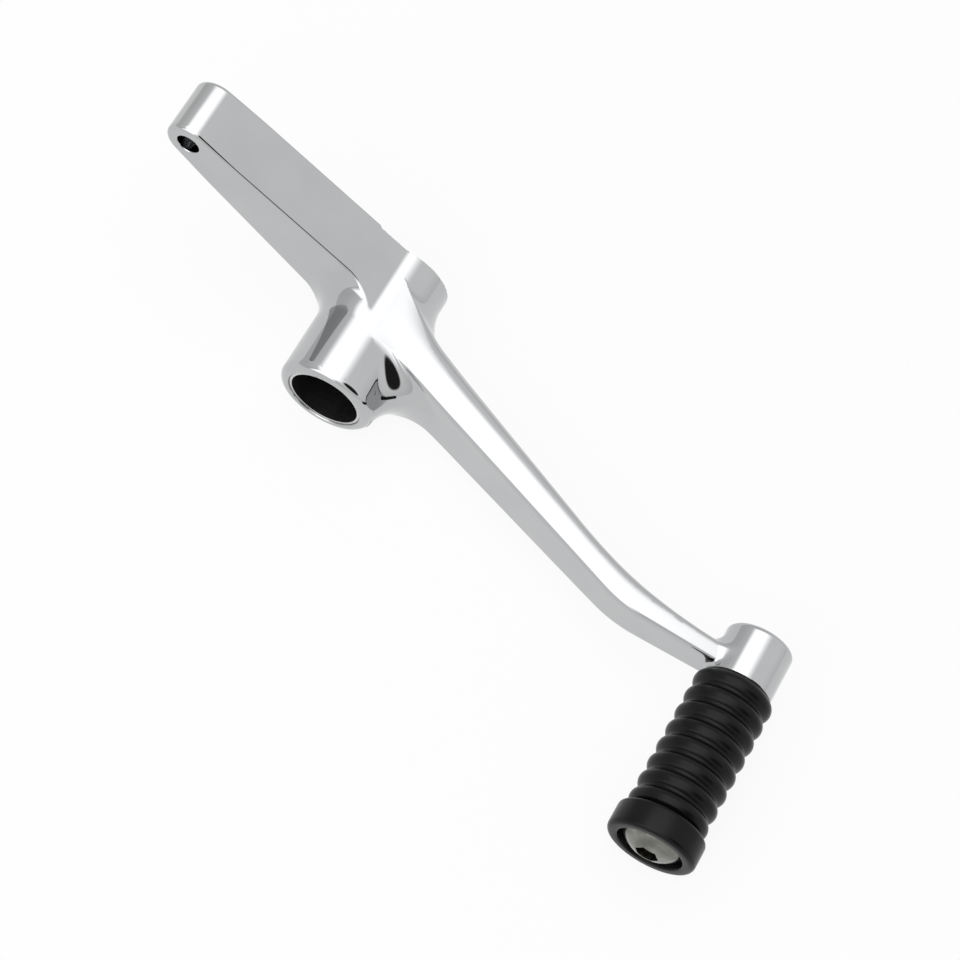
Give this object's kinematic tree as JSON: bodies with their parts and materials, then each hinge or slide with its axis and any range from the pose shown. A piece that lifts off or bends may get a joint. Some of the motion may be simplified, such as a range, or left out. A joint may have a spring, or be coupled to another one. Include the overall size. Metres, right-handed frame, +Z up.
{
  "type": "toe gear shift lever",
  "caption": "Chrome-plated motorbike gear shift lever with a bushed pivot hub, a drilled link arm and an offset toe arm that carries a ribbed rubber peg.",
  "frame": {"origin": "on the pivot bore's axis, halfway along the hub", "axes": "+X from the pivot to the toe peg's axis, +Y along the pivot axis towards the motorbike (inboard), +Z up, on the side that the link arm rises to"},
  "size_m": [0.2174, 0.1123, 0.057],
  "materials": {
    "chrome_plate": "polished chrome plate",
    "bush_steel": "turned",
    "zinc_steel": "zinc plated",
    "black_rubber": "satin moulded"
  },
  "bodies": {
    "root": {"shift_lever": "chrome_plate", "outer_bush": "bush_steel", "inner_bush": "bush_steel", "peg_sleeve": "zinc_steel", "peg_rubber": "black_rubber", "peg_lock_washer": "zinc_steel", "peg_screw": "zinc_steel"}
  },
  "joints": []
}
